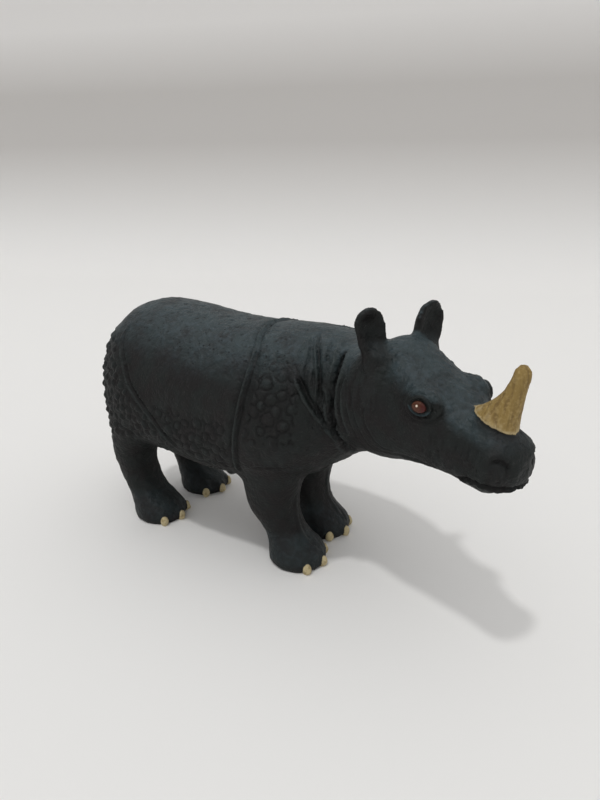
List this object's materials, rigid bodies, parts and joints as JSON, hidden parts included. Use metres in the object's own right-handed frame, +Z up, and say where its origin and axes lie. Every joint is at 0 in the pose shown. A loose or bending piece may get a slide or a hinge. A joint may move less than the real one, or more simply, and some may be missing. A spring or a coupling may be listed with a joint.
{
  "type": "rhinoceros figurine",
  "caption": "Moulded rubber figurine of a standing one-horned rhinoceros, head turned to its right, with carved skin folds, painted horn, nails and eyes",
  "frame": {"origin": "on the ground under the middle of the figurine's box", "axes": "+X is the way the body faces, +Y is the animal's left side, +Z is up"},
  "size_m": [0.2008, 0.0756, 0.1125],
  "materials": {
    "rubber": "soft dark green-black rubber with a dull gloss; horn, nails and eyes painted"
  },
  "bodies": {
    "root": {"rhinoceros": "rubber"}
  },
  "joints": []
}
